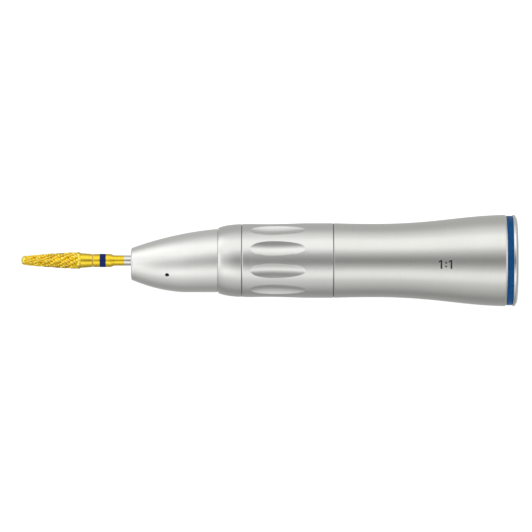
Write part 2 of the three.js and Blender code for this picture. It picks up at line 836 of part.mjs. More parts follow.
put(
  chuck,
  "collet_spring",
  drawn(
    new Coil(SPRING.front, SPRING.rear, SPRING.coil, SPRING.turns),
    SPRING.wire,
    0,
    SPRING.turns * 8,
    4,
  ),
  springSteel,
);

put(
  chuck,
  "collet_spring_nut",
  cut(
    ring(SPRING_NUT.front, SPRING_NUT.rear, COLLET.tail + FIT, SPRING_NUT.radius),
    crossHole(RELEASE_PIN.station, RELEASE_PIN.radius + 0.04),
  ),
  turnedSteel,
);

put(
  chuck,
  "release_collar",
  cut(
    ring(RELEASE_COLLAR.front, RELEASE_COLLAR.rear, SPINDLE_R + 0.08, RELEASE_COLLAR.radius),
    crossHole(RELEASE_PIN.station, RELEASE_PIN.radius + 0.04),
  ),
  turnedSteel,
);

const releasePinEnd = RELEASE_COLLAR.radius - 0.1;
put(
  chuck,
  "release_pin",
  radialRod(RELEASE_PIN.station, 0, RELEASE_PIN.radius, -releasePinEnd, releasePinEnd),
  ballSteel,
);

// ---------------------------------------------------------------- connector sleeve and rear sheath

const FLANGE = { front: -1.0, bevel: -0.5, radius: 10.36, face: 9.4 };
const SLEEVE = { land: 9.45, landFront: -5.4, slim: 7.5, slimRear: -12.5, front: -38.1 };
const SOCKET = { mouth: 8.1, wide: 7.8, wideFront: -8.0, bore: 6.45, boreRear: -9.4 };
const LATCH = { front: -13.2, rear: -12.0, radius: 6.9 };
const SLEEVE_SEAL = { station: -4.2, radius: 9.23, section: 0.25, half: 0.35, floor: 8.9 };

const sleeveTubeGroove = block(
  [SLEEVE.front - 1, -TUBE_GROOVE_HALF, -8],
  [WATER_PORT + 0.8, TUBE_GROOVE_HALF, -6.7],
);
const sleeveTubeNotch = block(
  [SLEEVE.front - 1, -TUBE_GROOVE_HALF, -8],
  [BODY_REAR + 0.3, TUBE_GROOVE_HALF, -5],
);

put(
  housing,
  "connector_sleeve",
  cut(
    turned(
      [
        [REAR_FACE, SOCKET.mouth],
        [REAR_FACE, FLANGE.face],
        [FLANGE.bevel, FLANGE.radius],
        [FLANGE.front, FLANGE.radius],
        [FLANGE.front, SLEEVE.land],
        [SLEEVE_SEAL.station + SLEEVE_SEAL.half, SLEEVE.land],
        [SLEEVE_SEAL.station + SLEEVE_SEAL.half, SLEEVE_SEAL.floor],
        [SLEEVE_SEAL.station - SLEEVE_SEAL.half, SLEEVE_SEAL.floor],
        [SLEEVE_SEAL.station - SLEEVE_SEAL.half, SLEEVE.land],
        [SLEEVE.landFront, SLEEVE.land],
        [SLEEVE.slimRear, SLEEVE.slim],
        [SLEEVE.front, SLEEVE.slim],
        [SLEEVE.front, BODY_R + WIDE_FIT],
        [BODY_REAR + 0.05, BODY_R + WIDE_FIT],
        [BODY_REAR + 0.05, SOCKET.bore],
        [LATCH.front, SOCKET.bore],
        [LATCH.front, LATCH.radius],
        [LATCH.rear, LATCH.radius],
        [LATCH.rear, SOCKET.bore],
        [SOCKET.boreRear, SOCKET.bore],
        [SOCKET.wideFront, SOCKET.wide],
        [REAR_FACE - 0.35, SOCKET.wide],
      ],
      WIDE_ROUND,
    ),
    sleeveTubeGroove,
    sleeveTubeNotch,
    radialRod(WATER_PORT, DOWN, 0.35, 6, 7),
  ),
  satinSteel,
);

put(
  housing,
  "sleeve_o_ring",
  roundRing(SLEEVE_SEAL.station, SLEEVE_SEAL.radius, SLEEVE_SEAL.section),
  blackRubber,
);

const CODE_RING = { front: -2.4, rear: FLANGE.front - 0.05, bore: 9.55, radius: 10.2, chamfer: 0.12 };

put(
  housing,
  "blue_code_ring",
  turned(
    [
      [CODE_RING.front, CODE_RING.bore],
      [CODE_RING.front, CODE_RING.radius - CODE_RING.chamfer],
      [CODE_RING.front + CODE_RING.chamfer, CODE_RING.radius],
      [CODE_RING.rear - CODE_RING.chamfer, CODE_RING.radius],
      [CODE_RING.rear, CODE_RING.radius - CODE_RING.chamfer],
      [CODE_RING.rear, CODE_RING.bore],
    ],
    WIDE_ROUND,
  ),
  blueRing,
);

const SHEATH_REAR = CODE_RING.front - 0.05;
const SHEATH_FRONT = SHEATH_SEAM + SEAM_GAP / 2;
const WAIST = -33;
const SHEATH_FRONT_R = 8.48;
const WAIST_R = 8.33;
const FLARE_R = 10.4;

const sheathNeck = bend([SHEATH_FRONT, SHEATH_FRONT_R], [-37, WAIST_R], [WAIST, WAIST_R]);
const sheathFlare = bend([WAIST, WAIST_R], [-18, WAIST_R - 0.03], [-12.5, FLARE_R], [-1, FLARE_R]);

put(
  housing,
  "rear_sheath",
  turned(
    [
      [SHEATH_FRONT, BODY_R + WIDE_FIT],
      [SHEATH_FRONT, SHEATH_FRONT_R - 0.12],
      [SHEATH_FRONT + 0.12, SHEATH_FRONT_R],
      ...along(sheathNeck, 2).slice(1, -1),
      ...along(sheathFlare, 7).filter(([x]) => x < SHEATH_REAR - 0.5),
      [SHEATH_REAR - 0.3, 10.38],
      [SHEATH_REAR, 10.24],
      [SHEATH_REAR, SLEEVE.land + 0.09],
      [SLEEVE.landFront, SLEEVE.land + 0.09],
      [-18, SLEEVE.slim + 0.12],
      [SLEEVE.front - 0.1, SLEEVE.slim + 0.12],
      [SLEEVE.front - 0.1, BODY_R + WIDE_FIT],
    ],
    WIDE_ROUND,
  ),
  satinSteel,
);

// ---------------------------------------------------------------- bur

const HEAD = { tip: BUR_TIP, tipR: 1.05, widest: -99.9, widestR: 1.93, rear: -96.35, rearR: 1.5 };
const COLLAR = { front: -96.3, rear: -92.2, radius: 1.49, neck: -91.5 };
const BAND = { front: -94.75, rear: -93.4, floor: 1.33, radius: 1.52 };
const SHANK_REAR = BUR_TIP + BUR_LENGTH;

put(
  bur,
  "bur_head",
  turned([
    [HEAD.tip, 0],
    [HEAD.tip, 0.45],
    [HEAD.tip + 0.35, 0.9],
    [HEAD.tip + 1.0, HEAD.tipR + 0.1],
    [-106, 1.6],
    [HEAD.widest, HEAD.widestR],
    [HEAD.widest + 0.9, 1.68],
    [HEAD.rear, HEAD.rearR],
    [HEAD.rear, 0],
  ]),
  gold,
);

put(
  bur,
  "bur_shank",
  turned([
    [COLLAR.front, 0],
    [COLLAR.front, COLLAR.radius],
    [BAND.front - 0.03, COLLAR.radius],
    [BAND.front - 0.03, BAND.floor],
    [BAND.rear + 0.03, BAND.floor],
    [BAND.rear + 0.03, COLLAR.radius],
    [COLLAR.rear, COLLAR.radius],
    [COLLAR.neck, SHANK_R],
    [SHANK_REAR - 0.3, SHANK_R],
    [SHANK_REAR, SHANK_R - 0.25],
    [SHANK_REAR, 0],
  ]),
  brightSteel,
);

put(bur, "bur_color_band", ring(BAND.front, BAND.rear, BAND.floor + 0.03, BAND.radius), blueBand);

export default handpiece;
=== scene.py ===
"""A straight dental handpiece with a gold bur, in satin stainless steel, on a pale studio floor.

Lengths in the tables below are millimetres along the axis (X, from the rear face) and out from it, and
become metres when a mesh is made.
"""

import json
import math

import bmesh
import bpy
from mathutils import Matrix, Vector


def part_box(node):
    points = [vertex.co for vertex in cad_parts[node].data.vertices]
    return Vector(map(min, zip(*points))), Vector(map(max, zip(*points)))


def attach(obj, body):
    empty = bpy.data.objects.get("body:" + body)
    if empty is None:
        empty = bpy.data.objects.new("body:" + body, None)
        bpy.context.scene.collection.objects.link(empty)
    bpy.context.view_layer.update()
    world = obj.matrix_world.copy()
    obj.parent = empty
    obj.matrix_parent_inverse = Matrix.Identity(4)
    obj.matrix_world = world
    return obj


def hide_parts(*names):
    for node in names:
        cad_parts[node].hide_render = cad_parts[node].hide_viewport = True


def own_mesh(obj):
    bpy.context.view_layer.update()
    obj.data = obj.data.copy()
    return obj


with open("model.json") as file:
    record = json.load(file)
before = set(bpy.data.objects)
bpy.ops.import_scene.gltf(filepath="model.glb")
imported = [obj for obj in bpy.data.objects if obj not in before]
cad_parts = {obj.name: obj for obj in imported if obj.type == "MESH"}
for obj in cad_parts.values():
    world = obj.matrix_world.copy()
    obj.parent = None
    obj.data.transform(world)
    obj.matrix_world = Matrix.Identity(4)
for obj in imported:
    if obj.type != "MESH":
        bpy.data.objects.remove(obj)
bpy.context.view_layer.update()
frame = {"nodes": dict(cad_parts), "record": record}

MM = 0.001
TAU = 2 * math.pi
AROUND = 144  # columns round a casing


# ------------------------------------------------------------------ meshes


def mesh_object(name, points, faces, sharp=38):
    """A smooth-shaded object from points in millimetres, with its faces turned outwards."""
    mesh = bpy.data.meshes.new(name)
    mesh.from_pydata([(x * MM, y * MM, z * MM) for x, y, z in points], [], faces)
    bm = bmesh.new()
    bm.from_mesh(mesh)
    bmesh.ops.recalc_face_normals(bm, faces=bm.faces)
    bm.to_mesh(mesh)
    bm.free()
    obj = bpy.data.objects.new(name, mesh)
    bpy.context.scene.collection.objects.link(obj)
    smooth(obj, sharp)
    return obj


def smooth(obj, sharp=38):
    """Smooth shading, with an edge where two faces meet at more than so many degrees."""
    obj.data.shade_smooth()
    obj.data.set_sharp_from_angle(angle=math.radians(sharp))


def skin(name, rows, closed, sharp=38):
    """An object from rows of points that wrap round. A row of one point is a pole."""
    points, faces, starts = [], [], []
    for row in rows:
        starts.append(len(points))
        points.extend(row)
    pairs = list(zip(range(len(rows)), range(1, len(rows))))
    if closed:
        pairs.append((len(rows) - 1, 0))
    for a, b in pairs:
        na, nb = len(rows[a]), len(rows[b])
        for i in range(max(na, nb)):
            j = (i + 1) % max(na, nb)
            corners = (
                starts[a] + i % na,
                starts[a] + j % na,
                starts[b] + j % nb,
                starts[b] + i % nb,
            )
            faces.append(tuple(dict.fromkeys(corners)))
    return mesh_object(name, points, faces, sharp)


def ring_row(x, radius, centre_z=0.0, around=AROUND):
    if radius == 0:
        return [(x, 0.0, centre_z)]
    angles = [TAU * i / around for i in range(around)]
    return [(x, radius * math.cos(a), radius * math.sin(a) + centre_z) for a in angles]


def rounded(profile, closed):
    """A profile of (x, radius) or (x, radius, rounding) with its roundings drawn as short curves."""
    steps = 4
    out = []
    count = len(profile)
    for i, point in enumerate(profile):
        here = Vector(point[:2])
        if len(point) == 2 or (not closed and i in (0, count - 1)):
            out.append(tuple(here))
            continue
        before = Vector(profile[i - 1][:2])
        after = Vector(profile[(i + 1) % count][:2])
        start = here + (before - here).normalized() * point[2]
        end = here + (after - here).normalized() * point[2]
        for k in range(steps + 1):
            t = k / steps
            out.append(tuple(start * (1 - t) ** 2 + here * 2 * t * (1 - t) + end * t**2))
    return out


def lathe(name, profile, around=AROUND):
    """A body of revolution about X."""
    closed = profile[0][1] > 0
    rows = [ring_row(x, r, 0.0, around) for x, r in rounded(profile, closed)]
    return skin(name, rows, closed)


def quadratic(a, b, c):
    """A curve of (x, radius) from a to c, pulled towards b."""

    def at(t):
        x = a[0] * (1 - t) ** 2 + 2 * b[0] * t * (1 - t) + c[0] * t * t
        r = a[1] * (1 - t) ** 2 + 2 * b[1] * t * (1 - t) + c[1] * t * t
        return x, r

    return at


def cubic(a, b, c, d):
    """A curve of (x, radius) from a to d, pulled towards b and then c."""

    def at(t):
        s = 1 - t
        weights = (s**3, 3 * s * s * t, 3 * s * t * t, t**3)
        return tuple(sum(w * p[i] for w, p in zip(weights, (a, b, c, d))) for i in (0, 1))

    return at


def sampled(curve, steps):
    return [curve(i / steps) for i in range(steps + 1)]


def height_at(curve, x):
    """The radius of a curve whose x grows with its parameter."""
    low, high = 0.0, 1.0
    for _ in range(30):
        middle = (low + high) / 2
        if curve(middle)[0] < x:
            low = middle
        else:
            high = middle
    return curve(low)[1]


def drill(obj, *cutters):
    """Takes the cutters out of the object for good."""
    for cutter in cutters:
        modifier = obj.modifiers.new("cut", "BOOLEAN")
        modifier.object = cutter
        modifier.solver = "EXACT"
    graph = bpy.context.evaluated_depsgraph_get()
    made = bpy.data.meshes.new_from_object(obj.evaluated_get(graph))
    obj.modifiers.clear()
    obj.data = made
    smooth(obj)
    for cutter in cutters:
        bpy.data.objects.remove(cutter)
    return obj


def rod(start, end, radius, around=32):
    """A plain round cutter between two points, in millimetres."""
    start, end = Vector(start), Vector(end)
    turn = (end - start).to_track_quat("X", "Z").to_matrix()
    length = (end - start).length
    rims = [ring_row(x, radius, 0, around) for x in (0, length)]
    rows = [[(0, 0, 0)], *rims, [(length, 0, 0)]]
    placed = [[tuple(start + turn @ Vector(p)) for p in row] for row in rows]
    return skin("cutter", placed, closed=False)


def slab(low, high):
    """A plain box cutter between two corners, in millimetres."""
    points = [(x, y, z) for x in (low[0], high[0]) for y in (low[1], high[1]) for z in (low[2], high[2])]
    faces = [(0, 1, 3, 2), (4, 6, 7, 5), (0, 4, 5, 1), (2, 3, 7, 6), (0, 2, 6, 4), (1, 5, 7, 3)]
    return mesh_object("cutter", points, faces)


# ------------------------------------------------------------------ materials


class Paint:
    """A material and a short way to add nodes to it."""

    def __init__(self, name):
        self.material = bpy.data.materials.new(name)
        self.material.use_nodes = True
        self.tree = self.material.node_tree
        self.shader = self.tree.nodes["Principled BSDF"]
        self.place = self.add("ShaderNodeTexCoord").outputs["Object"]

    def add(self, kind, **settings):
        node = self.tree.nodes.new(kind)
        for key, value in settings.items():
            setattr(node, key, value)
        return node

    def link(self, source, target):
        self.tree.links.new(source, target)

    def set(self, **values):
        for key, value in values.items():
            self.shader.inputs[key.replace("_", " ")].default_value = value

    def stretched(self, scale):
        """Object coordinates scaled along each axis."""
        node = self.add("ShaderNodeMapping")
        node.inputs["Scale"].default_value = scale
        self.link(self.place, node.inputs["Vector"])
        return node.outputs["Vector"]

    def noise(self, scale, detail, stretch=(1, 1, 1), roughness=0.5):
        node = self.add("ShaderNodeTexNoise")
        node.inputs["Scale"].default_value = scale
        node.inputs["Detail"].default_value = detail
        node.inputs["Roughness"].default_value = roughness
        self.link(self.stretched(stretch), node.inputs["Vector"])
        return node.outputs["Fac"]

    def mapped(self, value, low, high, from_low=0.3, from_high=0.7):
        """A value between from_low and from_high, brought to between low and high."""
        node = self.add("ShaderNodeMapRange")
        limits = {"From Min": from_low, "From Max": from_high, "To Min": low, "To Max": high}
        for key, number in limits.items():
            node.inputs[key].default_value = number
        self.link(value, node.inputs["Value"])
        return node.outputs["Result"]

    def blended(self, factor, first, second):
        """A colour between two colours, or between two sockets."""
        node = self.add("ShaderNodeMix", data_type="RGBA")
        self.link(factor, node.inputs["Factor"])
        for socket, value in ((node.inputs[6], first), (node.inputs[7], second)):
            if isinstance(value, tuple):
                socket.default_value = (*value, 1)
            else:
                self.link(value, socket)
        return node.outputs[2]

    def math(self, operation, first, second):
        node = self.add("ShaderNodeMath", operation=operation)
        for socket, value in zip(node.inputs, (first, second)):
            if isinstance(value, (int, float)):
                socket.default_value = value
            else:
                self.link(value, socket)
        return node.outputs["Value"]

    def weighted(self, *terms):
        """The sum of some values, each times its weight."""
        first, *others = [self.math("MULTIPLY", value, weight) for value, weight in terms]
        for other in others:
            first = self.math("ADD", first, other)
        return first

    def bump(self, height, depth, strength):
        """Relief of the given depth in metres."""
        node = self.add("ShaderNodeBump")
        node.inputs["Distance"].default_value = depth
        node.inputs["Strength"].default_value = strength
        self.link(height, node.inputs["Height"])
        self.link(node.outputs["Normal"], self.shader.inputs["Normal"])

    def colour(self, socket):
        self.link(socket, self.shader.inputs["Base Color"])

    def roughness(self, socket):
        self.link(socket, self.shader.inputs["Roughness"])


def satin_steel(name, pale, dark, roughness):
    """Bead-blasted steel with the faint rings that the lathe left under the blasting."""
    paint = Paint(name)
    paint.set(Metallic=1.0)
    rings = paint.noise(1.0, 3.0, (5200, 60, 60), 0.65)
    speckle = paint.noise(5200, 2.0, roughness=0.7)
    cloud = paint.noise(190, 2.0)
    mixed = paint.weighted((rings, 0.3), (speckle, 0.45), (cloud, 0.25))
    paint.colour(paint.blended(paint.mapped(mixed, 0, 1, 0.38, 0.62), dark, pale))
    paint.roughness(paint.mapped(mixed, roughness[1], roughness[0], 0.36, 0.64))
    paint.bump(paint.weighted((speckle, 0.7), (rings, 0.22)), 0.0022 * MM, 0.35)
    return paint.material


def turned_steel(name, pale, dark, roughness, ring_size=0.12):
    """Machined steel with fine turning marks round the axis."""
    paint = Paint(name)
    paint.set(Metallic=1.0)
    marks = paint.noise(1.0, 2.0, (1 / (ring_size * MM), 30, 30), 0.6)
    cloud = paint.noise(400, 2.0)
    paint.colour(paint.blended(paint.mapped(marks, 0, 1), dark, pale))
    paint.roughness(paint.mapped(cloud, *roughness))
    paint.bump(marks, 0.003 * MM, 0.5)
    return paint.material


def gold_coating(name):
    """Gold-coloured nitride, with painted shade, orange-brown, in the flutes and a painted highlight on the
    ground crests; the speckle adds random tone.
    """
    paint = Paint(name)
    paint.set(Metallic=1.0)
    crest = paint.add("ShaderNodeAttribute", attribute_name="crest").outputs["Fac"]
    speckle = paint.noise(7000, 3.0, roughness=0.7)
    lift = paint.math("ADD", crest, paint.mapped(speckle, -0.3, 0.3))
    # The ramp goes from painted shade at the flute bottoms to a painted highlight on the crests.
    ramp = paint.add("ShaderNodeValToRGB")
    stops = ramp.color_ramp.elements
    stops[0].position, stops[0].color = 0.0, (0.22, 0.065, 0.002, 1)
    stops[1].position, stops[1].color = 1.0, (1.0, 0.90, 0.24, 1)
    for position, colour in ((0.3, (0.80, 0.40, 0.006, 1)), (0.62, (1.0, 0.70, 0.016, 1))):
        stops.new(position).color = colour
    paint.link(lift, ramp.inputs["Fac"])
    paint.colour(ramp.outputs["Color"])
    paint.roughness(paint.mapped(speckle, 0.14, 0.26))
    paint.bump(speckle, 0.006 * MM, 0.4)
    return paint.material


def gloss(name, pale, dark):
    """Lacquer or plastic with a slightly uneven skin."""
    paint = Paint(name)
    paint.set(Specular_IOR_Level=0.1)
    cloud = paint.noise(900, 3.0)
    paint.colour(paint.blended(paint.mapped(cloud, 0, 1), dark, pale))
    paint.roughness(paint.mapped(cloud, 0.24, 0.34))
    paint.bump(paint.noise(2500, 2.0), 0.004 * MM, 0.4)
    return paint.material


def rubber(name):
    """Black seal rubber with a dull, uneven skin."""
    paint = Paint(name)
    cloud = paint.noise(1500, 3.0)
    paint.colour(paint.blended(paint.mapped(cloud, 0, 1), (0.012, 0.012, 0.013), (0.03, 0.03, 0.032)))
    paint.roughness(paint.mapped(cloud, 0.6, 0.8))
    paint.bump(cloud, 0.01 * MM, 0.4)
    return paint.material


def etched(name):
    """Laser-darkened steel; the same material also paints shade on the seam floors."""
    paint = Paint(name)
    paint.set(Metallic=0.6)
    cloud = paint.noise(4000, 2.0)
    paint.colour(paint.blended(paint.mapped(cloud, 0, 1), (0.012, 0.012, 0.014), (0.035, 0.035, 0.04)))
    paint.roughness(paint.mapped(cloud, 0.45, 0.65))
    return paint.material


NOSE_STEEL = satin_steel("nose_satin_steel", (0.87, 0.875, 0.845), (0.835, 0.84, 0.81), (0.33, 0.38))
WHITE_STEEL = satin_steel("white_satin_steel", (0.80, 0.805, 0.775), (0.765, 0.77, 0.74), (0.27, 0.31))
GREY_STEEL = satin_steel("grey_satin_steel", (0.785, 0.79, 0.75), (0.75, 0.755, 0.717), (0.27, 0.31))
RIM_STEEL = satin_steel("rim_steel", (0.89, 0.895, 0.9), (0.85, 0.855, 0.86), (0.18, 0.23))
GOLD = gold_coating("gold_coating")
BRIGHT_STEEL = turned_steel("bright_steel", (0.86, 0.86, 0.87), (0.72, 0.72, 0.73), (0.07, 0.16))
TURNED_STEEL = turned_steel("turned_steel", (0.66, 0.66, 0.65), (0.5, 0.5, 0.5), (0.2, 0.32))
HARD_STEEL = turned_steel("hardened_steel", (0.5, 0.5, 0.51), (0.38, 0.38, 0.39), (0.2, 0.34), 0.2)
SPRING_STEEL = turned_steel("spring_steel", (0.46, 0.46, 0.47), (0.34, 0.34, 0.35), (0.25, 0.38), 0.3)
BEARING_STEEL = turned_steel("bearing_steel", (0.82, 0.82, 0.83), (0.7, 0.7, 0.71), (0.06, 0.14), 0.3)
BLUE_RING = gloss("blue_ring", (0.002, 0.056, 0.175), (0.001, 0.044, 0.145))
BLUE_BAND = gloss("blue_band", (0.003, 0.016, 0.105), (0.002, 0.011, 0.08))
RUBBER = rubber("seal_rubber")
# One dark material serves the printed mark and the blackened screw, and also paints shade in the seams.
DARK_STEEL_AND_SEAM_SHADE = etched("dark_steel_and_seam_shade")

BY_SLOT = {
    "satin_steel": WHITE_STEEL,
    "turned_steel": TURNED_STEEL,
    "hardened_steel": HARD_STEEL,
    "spring_steel": SPRING_STEEL,
    "bearing_steel": BEARING_STEEL,
    "bright_steel": BRIGHT_STEEL,
    "gold_coating": GOLD,
    "seal_rubber": RUBBER,
    "blue_ring": BLUE_RING,
    "blue_band": BLUE_BAND,
}

for part in frame["record"]["subparts"]:
    node = frame["nodes"][part["node"]]
    node.data.materials.clear()
    node.data.materials.append(BY_SLOT[part["material_slot"]])
# The small screw deep in the nose's side hole is blackened.
frame["nodes"]["nose_lock_screw"].data.materials[0] = DARK_STEEL_AND_SEAM_SHADE


def stand_in(obj, body, slot, material, *nodes):
    """Puts a piece on a body in place of CAD nodes, with its material."""
    obj.data.materials.clear()
    obj.data.materials.append(material)
    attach(obj, body)
    if nodes:
        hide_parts(*nodes)
    return obj


def paint_seam_shade(obj, seam, below):
    """Paints shade on the floor and lower walls of the seam at a station: faces there get the dark material.
    """
    reach, floor = 0.12, 6.5
    obj.data.materials.append(DARK_STEEL_AND_SEAM_SHADE)
    slot = len(obj.data.materials) - 1
    for face in obj.data.polygons:
        x, y, z = face.center / MM
        if abs(x - seam) < reach and floor < math.hypot(y, z) < below:
            face.material_index = slot


# ------------------------------------------------------------------ nose cone

NOSE_FACE, NOSE_RIM, NOSE_SEAM = -87.7, -87.3, -67.9
COLLAR_SEAM, SHEATH_SEAM = -62.5, -41.7  # in front of the twist ring and behind it
GAP = 0.055  # half of the seam between two casings
LIP = 0.03  # how far past the seam's middle the floor of the seam reaches
NOSE_R = 7.2  # at the nose's rear end
BULGE_REAR = -75.5  # where the underside comes up to that radius
GUIDE_HOLE_R = 1.6
SCREW_STATION, SCREW_TURN = -79.4, math.pi + 0.538
NOZZLE_Z = -3.1
nose_top = quadratic((NOSE_RIM, 2.93), ((NOSE_RIM + NOSE_SEAM) / 2, 6.36), (NOSE_SEAM, NOSE_R))
nose_under = quadratic((NOSE_RIM, 4.48), ((NOSE_RIM + BULGE_REAR) / 2, 6.97), (BULGE_REAR, NOSE_R))


def nose_section(x):
    """(radius, height of the centre) of the nose's round section."""
    top = height_at(nose_top, x)
    under = height_at(nose_under, x) if x < BULGE_REAR else NOSE_R
    return (top + under) / 2, (top - under) / 2


def make_nose():
    """The nose's shell with its bores and the holes of the lock screw and the nozzle."""
    rim, rim_z = nose_section(NOSE_RIM)
    rounding = 0.42
    inner, outer = GUIDE_HOLE_R + 0.1, rim - rounding
    # A faintly domed face, from the guide hole's edge out to the rounded rim.
    rows = [ring_row(NOSE_FACE + 0.12, GUIDE_HOLE_R), ring_row(NOSE_FACE + 0.03, GUIDE_HOLE_R + 0.03)]
    for i in range(9):
        share = i / 8
        radius = inner + (outer - inner) * share
        rows.append(ring_row(NOSE_FACE + 0.1 * share**2, radius, rim_z * share))
    for i in range(1, 9):
        a = math.pi / 2 * i / 9
        x = NOSE_FACE + 0.1 + 0.3 * (1 - math.cos(a))
        rows.append(ring_row(x, rim - rounding * (1 - math.sin(a)), rim_z))
    side_rear = NOSE_SEAM - GAP - 0.08
    for i in range(91):
        x = NOSE_RIM + (side_rear - NOSE_RIM) * i / 90
        radius, centre = nose_section(x)
        rows.append(ring_row(x, radius, centre))
    rows.append(ring_row(NOSE_SEAM - GAP, 7.13))
    rows.append(ring_row(NOSE_SEAM - GAP, 6.3))
    bore = [
        (-70.2, 6.3),
        (-71.2, 4.62),
        (-80.3, 4.62),
        (-80.3, 3.6),
        (-82.1, 3.6),
        (-82.1, 2.8),
        (-85.6, 2.8),
        (-85.6, GUIDE_HOLE_R),
    ]
    rows.extend(ring_row(x, radius) for x, radius in bore)
    nose = skin("nose_shell", rows, closed=True)
    outward = Vector((0, math.cos(SCREW_TURN), math.sin(SCREW_TURN)))
    foot = Vector((SCREW_STATION, 0, 0)) + outward * 4.7
    screw_hole = rod(foot, foot + outward * 4, 0.44)
    flare = lathe("flare", [(5.9, 0), (5.9, 0.3), (6.36, 0.44), (6.62, 0.62), (6.62, 0)], around=32)
    turned = outward.to_track_quat("X", "Z").to_matrix().to_4x4()
    flare.data.transform(Matrix.Translation(Vector((SCREW_STATION * MM, 0, 0))) @ turned)
    nozzle_hole = rod((-88.5, 0, NOZZLE_Z), (-86.2, 0, NOZZLE_Z), 0.56)
    return drill(nose, screw_hole, flare, nozzle_hole)


stand_in(make_nose(), "housing", "satin_steel", NOSE_STEEL, "nose_cone")

nozzle = lathe(
    "nozzle_insert",
    [(-87.74, 0.2, 0.03), (-87.74, 0.5, 0.06), (-86.6, 0.5), (-86.6, 0.2)],
    around=48,
)
nozzle.data.transform(Matrix.Translation((0, 0, NOZZLE_Z * MM)))
stand_in(nozzle, "housing", "bright_steel", BRIGHT_STEEL, "spray_nozzle")


# ------------------------------------------------------------------ front collar

collar_side = quadratic((NOSE_SEAM + GAP + 0.05, 7.42), (-66.2, 8.15), (COLLAR_SEAM - GAP - 0.1, 8.28))
collar = lathe(
    "collar_shell",
    [
        (NOSE_SEAM - LIP, 6.27),
        (NOSE_SEAM - LIP, 7.02),
        (NOSE_SEAM + GAP, 7.02),
        (NOSE_SEAM + GAP, 7.36, 0.08),
        *sampled(collar_side, 28),
        (COLLAR_SEAM - GAP, 8.2, 0.05),
        (COLLAR_SEAM - GAP, 8.1),
        (COLLAR_SEAM + LIP, 8.1),
        (COLLAR_SEAM + LIP, 7.15),
        (-61.8, 7.15),
        (-61.8, 6.55),
        (-60.9, 6.55),
        (-60.9, 7.15),
        (-60.2, 7.15),
        (-60.2, 6.27),
    ],
)
stand_in(collar, "housing", "satin_steel", WHITE_STEEL, "front_collar")
# Painted shade in the seam between the collar and the twist ring.
paint_seam_shade(collar, COLLAR_SEAM, 8.15)


# ------------------------------------------------------------------ twist ring

RING_FRONT, RING_REAR = COLLAR_SEAM + GAP, SHEATH_SEAM - GAP
SCALLOPS = 10
SCALLOP_FRONT, SCALLOP_MIDDLE, SCALLOP_REAR = -60.5, -55.6, -48.1
SCALLOP_DEPTH, SCALLOP_HALF = 0.62, 1.74
SCALLOP_TURN = math.radians(1.5)  # from the top to the middle of the first scallop
ring_side = quadratic((RING_FRONT, 8.28), (-52, 8.5), (RING_REAR, 8.48))


def scallop(x):
    """(depth, half width) of a scallop at a station, and how far past its ends the station is."""
    reach = SCALLOP_MIDDLE - SCALLOP_FRONT if x < SCALLOP_MIDDLE else SCALLOP_REAR - SCALLOP_MIDDLE
    t = (x - SCALLOP_MIDDLE) / reach
    past = max(0.0, SCALLOP_FRONT - x, x - SCALLOP_REAR)
    share = max(0.0, 1 - t * t)
    return SCALLOP_DEPTH * share**0.9, SCALLOP_HALF * share**0.5, past


def ring_columns(x, radius):
    """Angles and depths of one row of the ring: fine across each scallop, coarser on the land between."""
    depth, half, past = scallop(x)
    pitch = TAU / SCALLOPS
    spread = min(1.0, past / 1.2)  # the columns even out over 1.2 mm past a scallop's end
    half = max(half, 0.06) * (1 - spread) + 1.2 * spread
    edge = half / radius
    inside = [math.sin(math.pi / 2 * k / 11) for k in range(-11, 12)]
    land = [0.06, 0.2, 0.5, 0.8, 0.94]  # shares of the way from one scallop to the next
    out = []
    for s in range(SCALLOPS):
        middle = math.pi / 2 - SCALLOP_TURN + s * pitch
        out.extend((middle + u * edge, depth * (1 - u * u)) for u in inside)
        gap = pitch - 2 * edge
        out.extend((middle + edge + gap * share, 0.0) for share in land)
    return out


def make_twist_ring():
    start, end = RING_FRONT + 0.1, RING_REAR - 0.1
    front_half = SCALLOP_MIDDLE - SCALLOP_FRONT
    rear_half = SCALLOP_REAR - SCALLOP_MIDDLE
    steps = [SCALLOP_FRONT - (SCALLOP_FRONT - start) * (1 - i / 8) for i in range(8)]
    steps += [SCALLOP_MIDDLE - front_half * math.cos(math.pi / 2 * i / 26) for i in range(26)]
    steps += [SCALLOP_MIDDLE + rear_half * math.sin(math.pi / 2 * i / 34) for i in range(35)]
    steps += [SCALLOP_REAR + (end - SCALLOP_REAR) * (i / 16) for i in range(1, 17)]

    def plain(x, radius):
        return [(x, radius * math.cos(a), radius * math.sin(a)) for a, _ in ring_columns(x, radius)]

    rows = [plain(RING_FRONT, 7.3), plain(RING_FRONT, 8.16)]
    rows.append(plain(RING_FRONT + 0.03, 8.24))
    for x in steps:
        radius = height_at(ring_side, x)
        rows.append(
            [(x, (radius - d) * math.cos(a), (radius - d) * math.sin(a)) for a, d in ring_columns(x, radius)]
        )
    rows.append(plain(RING_REAR - 0.03, 8.44))
    rows.append(plain(RING_REAR, 8.36))
    rows.append(plain(RING_REAR, 7.3))
    return skin("twist_ring_shell", rows, closed=True, sharp=30)


stand_in(make_twist_ring(), "twister", "satin_steel", WHITE_STEEL, "twist_ring")


# ------------------------------------------------------------------ rear sheath, blue ring, connector sleeve

SHEATH_FRONT = SHEATH_SEAM + GAP
WAIST, WAIST_R, FLARE_R = -33, 8.33, 10.4
sheath_neck = quadratic((SHEATH_FRONT, 8.48), (-37, WAIST_R), (WAIST, WAIST_R))
sheath_flare = cubic((WAIST, WAIST_R), (-18, 8.30), (-12.5, FLARE_R), (-1, FLARE_R))


def sheath_radius(x):
    return height_at(sheath_neck if x < WAIST else sheath_flare, x)


